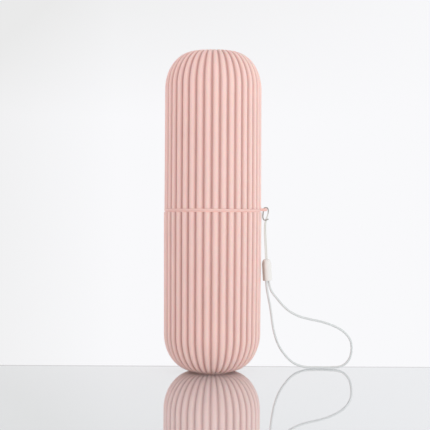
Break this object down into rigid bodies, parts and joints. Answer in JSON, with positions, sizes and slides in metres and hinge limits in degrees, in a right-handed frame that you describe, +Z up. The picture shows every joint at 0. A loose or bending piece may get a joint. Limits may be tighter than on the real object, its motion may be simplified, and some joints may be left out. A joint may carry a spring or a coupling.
{
  "type": "toothbrush travel cup",
  "caption": "Capsule-shaped travel cup for a toothbrush: two reeded half shells that meet on a neck collar with a seal ring, and a wrist lanyard with a barrel bead on the collar's ear.",
  "frame": {"origin": "centre of the cup's round foot, on the surface that the cup stands on", "axes": "+Z up along the capsule's centre line towards the cap, +X towards the lanyard ear, the picture looks along +Y"},
  "size_m": [0.1231, 0.0628, 0.2051],
  "materials": {
    "shell_pink": "fine matte",
    "collar_pink": "satin",
    "seal_silicone": "translucent silicone",
    "string_white": "twisted polyester",
    "bead_white": "glossy",
    "plug_white": "satin",
    "cord_grey": "braided polyester"
  },
  "bodies": {
    "cup": {"cup_shell": "shell_pink", "neck_collar": "collar_pink"},
    "seal": {"seal_ring": "seal_silicone"},
    "cap": {"cap_shell": "shell_pink"},
    "lanyard": {"lanyard_string": "string_white", "bead_sleeve": "bead_white", "bead_plug": "plug_white", "wrist_loop": "cord_grey"}
  },
  "joints": [
    {"name": "cap_twist", "type": "hinge", "parent": "cup", "child": "seal", "pos_m": [0, 0, 0.1134], "axis": [0, 0, 1], "continuous": true},
    {"name": "cap_lift", "type": "slide", "parent": "seal", "child": "cap", "axis": [0, 0, 1], "range_m": [0, 0.06]},
    {"name": "lanyard_swing", "type": "hinge", "parent": "cup", "child": "lanyard", "pos_m": [0.0342, 0, 0.104], "axis": [0, -1, 0], "range_deg": [0, 120]}
  ]
}
